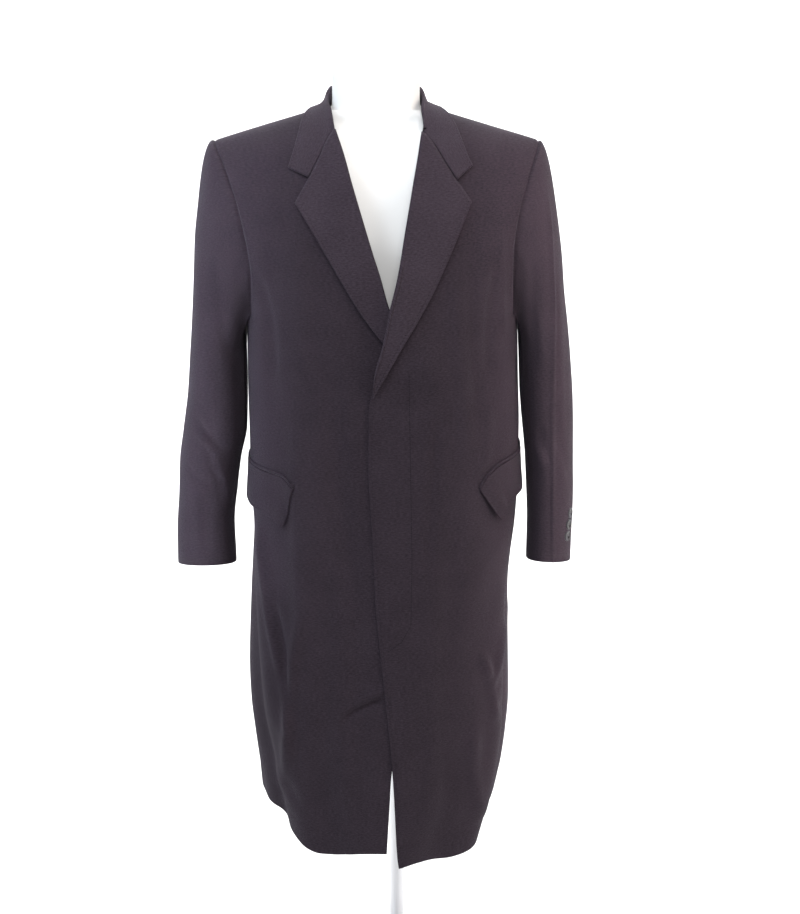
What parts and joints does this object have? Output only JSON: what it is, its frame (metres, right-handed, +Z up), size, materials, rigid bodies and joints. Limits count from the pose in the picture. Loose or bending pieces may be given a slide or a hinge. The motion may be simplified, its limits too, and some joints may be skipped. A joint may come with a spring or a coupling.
{
  "type": "wool overcoat on a dress form",
  "caption": "Single-breasted wool overcoat with notched lapels, flap pockets and a covered closing, on a limbless dress form with a pole and round base.",
  "frame": {"origin": "centre of the round base's underside, on the floor and on the pole's axis", "axes": "+Z up along the pole; -Y towards the coat's front; -X is the wearer's right"},
  "size_m": [0.6028, 0.356, 1.555],
  "materials": {
    "wool": "napped wool, matt",
    "horn": "satin",
    "form": "matt",
    "pole": "satin",
    "base": "satin"
  },
  "bodies": {
    "root": {"back_left": "wool", "back_right": "wool", "base": "base", "button_left_1": "horn", "button_left_2": "horn", "button_left_3": "horn", "button_right_1": "horn", "button_right_2": "horn", "button_right_3": "horn", "collar": "wool", "dress_form": "form", "flap_left": "wool", "flap_right": "wool", "front_left": "wool", "front_right": "wool", "jet_left": "wool", "jet_right": "wool", "lapel_left": "wool", "lapel_right": "wool", "pole": "pole", "top_sleeve_left": "wool", "top_sleeve_right": "wool", "under_sleeve_left": "wool", "under_sleeve_right": "wool"}
  },
  "joints": []
}
